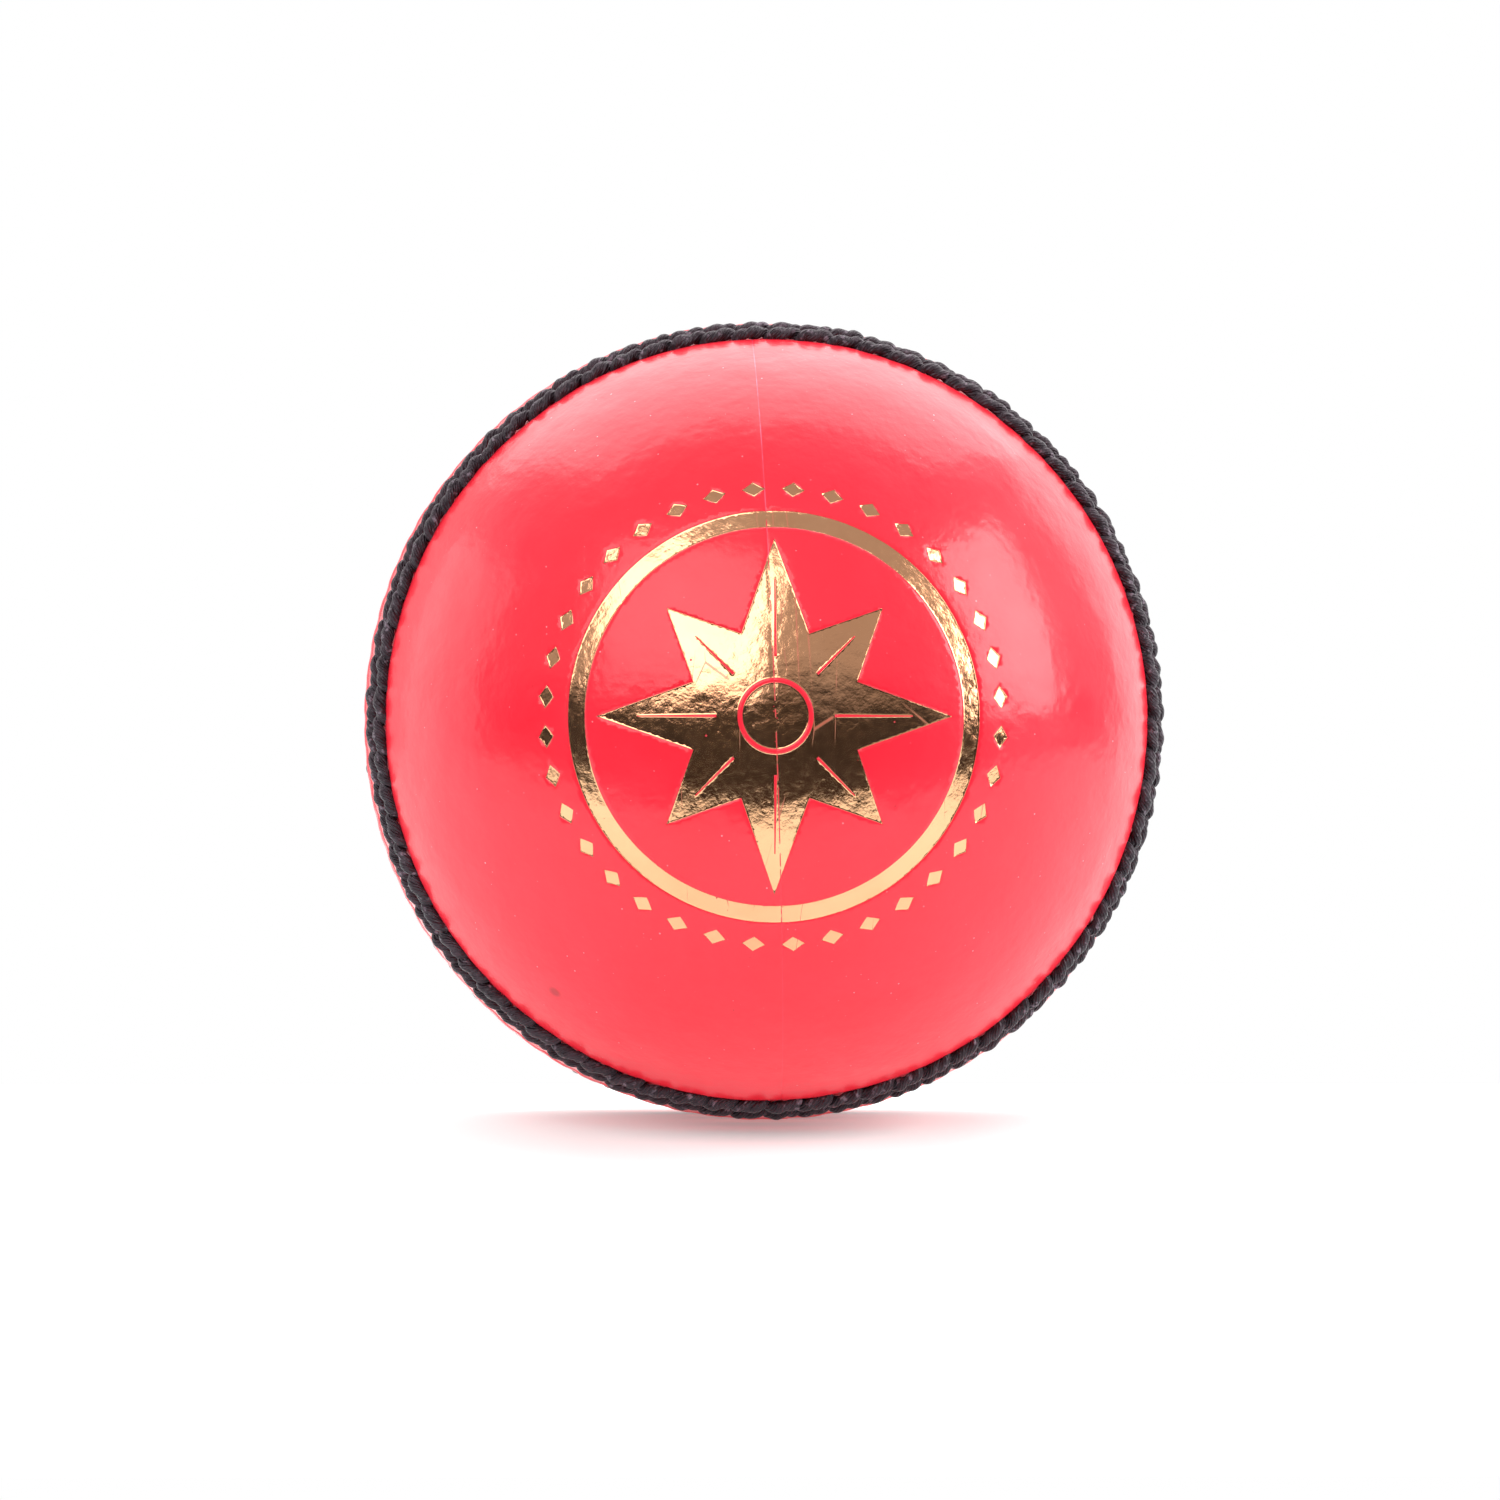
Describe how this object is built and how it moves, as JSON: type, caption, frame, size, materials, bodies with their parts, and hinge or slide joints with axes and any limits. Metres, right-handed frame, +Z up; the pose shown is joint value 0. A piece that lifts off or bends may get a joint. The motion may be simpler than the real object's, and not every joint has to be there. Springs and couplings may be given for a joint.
{
  "type": "cricket ball",
  "caption": "Four-piece pink leather cricket ball with a black hand-stitched seam and a plain gold foil medallion.",
  "frame": {"origin": "centre of the ball", "axes": "Y is the axis of the two cups, with the foil medallion on the pole at -Y; the seam stands in the plane XZ; +Z is up and +X is to the right when the medallion is faced"},
  "size_m": [0.0718, 0.072, 0.0718],
  "materials": {
    "pink_leather": "glossy lacquered leather, coral pink",
    "seam_thread": "waxed black linen thread, twisted",
    "inner_thread": "undyed waxed thread, twisted",
    "gold_foil": "hot-stamped gold foil, mirror bright with fine cracks",
    "cork": "natural granulated cork",
    "worsted_yarn": "wound worsted yarn, matte",
    "core_compound": "moulded cork and rubber compound, matte"
  },
  "bodies": {
    "root": {"cork_rubber_core": "core_compound", "cork_layer_1": "cork", "yarn_layer_1": "worsted_yarn", "cork_layer_2": "cork", "yarn_layer_2": "worsted_yarn", "cork_layer_3": "cork", "yarn_layer_3": "worsted_yarn", "cork_layer_4": "cork", "yarn_layer_4": "worsted_yarn", "cork_layer_5": "cork", "yarn_layer_5": "worsted_yarn", "leather_quarter_front_left": "pink_leather", "leather_quarter_front_right": "pink_leather", "leather_quarter_back_upper": "pink_leather", "leather_quarter_back_lower": "pink_leather", "outer_stitch_row_front": "seam_thread", "middle_stitch_row_front": "seam_thread", "closing_stitch_row_front": "seam_thread", "outer_under_thread_front": "inner_thread", "middle_under_thread_front": "inner_thread", "quarter_joint_thread_front": "inner_thread", "outer_stitch_row_back": "seam_thread", "middle_stitch_row_back": "seam_thread", "closing_stitch_row_back": "seam_thread", "outer_under_thread_back": "inner_thread", "middle_under_thread_back": "inner_thread", "quarter_joint_thread_back": "inner_thread", "closing_cross_thread": "seam_thread", "gold_foil_stamp": "gold_foil"}
  },
  "joints": []
}
